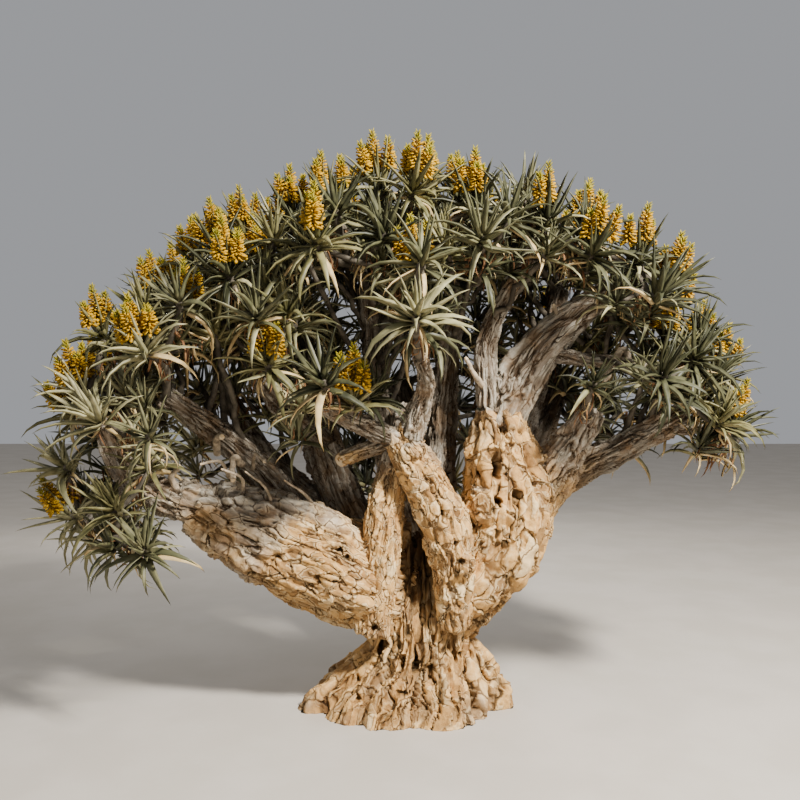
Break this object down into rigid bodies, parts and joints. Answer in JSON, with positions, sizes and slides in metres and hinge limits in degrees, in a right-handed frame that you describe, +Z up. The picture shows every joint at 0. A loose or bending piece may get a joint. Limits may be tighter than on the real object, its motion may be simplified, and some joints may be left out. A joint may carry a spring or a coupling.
{
  "type": "kokerboom tree",
  "caption": "Quiver tree with a stout flared trunk, swollen forking boughs and a wide dome of pointed leaf rosettes with yellow flower spikes.",
  "frame": {"origin": "centre of the flat cut under the trunk at ground level", "axes": "+Z up; -Y is the front, the side the picture shows; +X is that side's right, along the crown's width"},
  "size_m": [4.7043, 3.1633, 3.5893],
  "materials": {
    "bark": "rough golden plated bark",
    "grey_wood": "dry weathered wood",
    "foliage": "waxy grey-green leaves"
  },
  "bodies": {
    "root": {"trunk": "bark", "bough_left_great": "bark", "bough_left_outer": "bark", "bough_left_low": "bark", "bough_left_upper": "bark", "bough_right_great": "bark", "bough_front_left": "bark", "bough_front_centre": "bark", "bough_front_arm": "bark", "bough_front_post": "bark", "bough_broken_stub": "bark", "bough_grey_limb": "grey_wood", "bough_grey_upright": "grey_wood", "bough_grey_side": "grey_wood", "bough_right_mid": "bark", "bough_right_low": "bark", "bough_right_fringe": "bark", "bough_back_left": "bark", "bough_left_inner": "bark", "bough_back_left_low": "bark", "bough_back_centre": "bark", "bough_back_right": "bark", "bough_centre_left": "bark", "bough_centre_right": "bark", "bough_right_upright": "bark", "foliage_left_skirt_front": "foliage", "foliage_left_skirt_outer": "foliage", "foliage_left_fringe": "foliage", "foliage_left_shoulder": "foliage", "foliage_left_breast": "foliage", "foliage_left_crest_front": "foliage", "foliage_left_brow": "foliage", "foliage_top_front": "foliage", "foliage_right_brow": "foliage", "foliage_right_crest_front": "foliage", "foliage_right_shoulder": "foliage", "foliage_right_breast": "foliage", "foliage_right_fringe": "foliage", "foliage_right_skirt": "foliage", "foliage_front_low": "foliage", "foliage_front_middle": "foliage", "foliage_right_tuft": "foliage", "foliage_left_high": "foliage", "foliage_left_far": "foliage", "foliage_left_crest": "foliage", "foliage_top_left": "foliage", "foliage_top_right": "foliage", "foliage_right_crest": "foliage", "foliage_right_high": "foliage", "foliage_back_left_low": "foliage", "foliage_back_left_high": "foliage", "foliage_back_centre_left": "foliage", "foliage_back_centre_right": "foliage", "foliage_back_right_high": "foliage", "foliage_back_right_low": "foliage", "foliage_back_top": "foliage", "foliage_back_skirt": "foliage"}
  },
  "joints": []
}
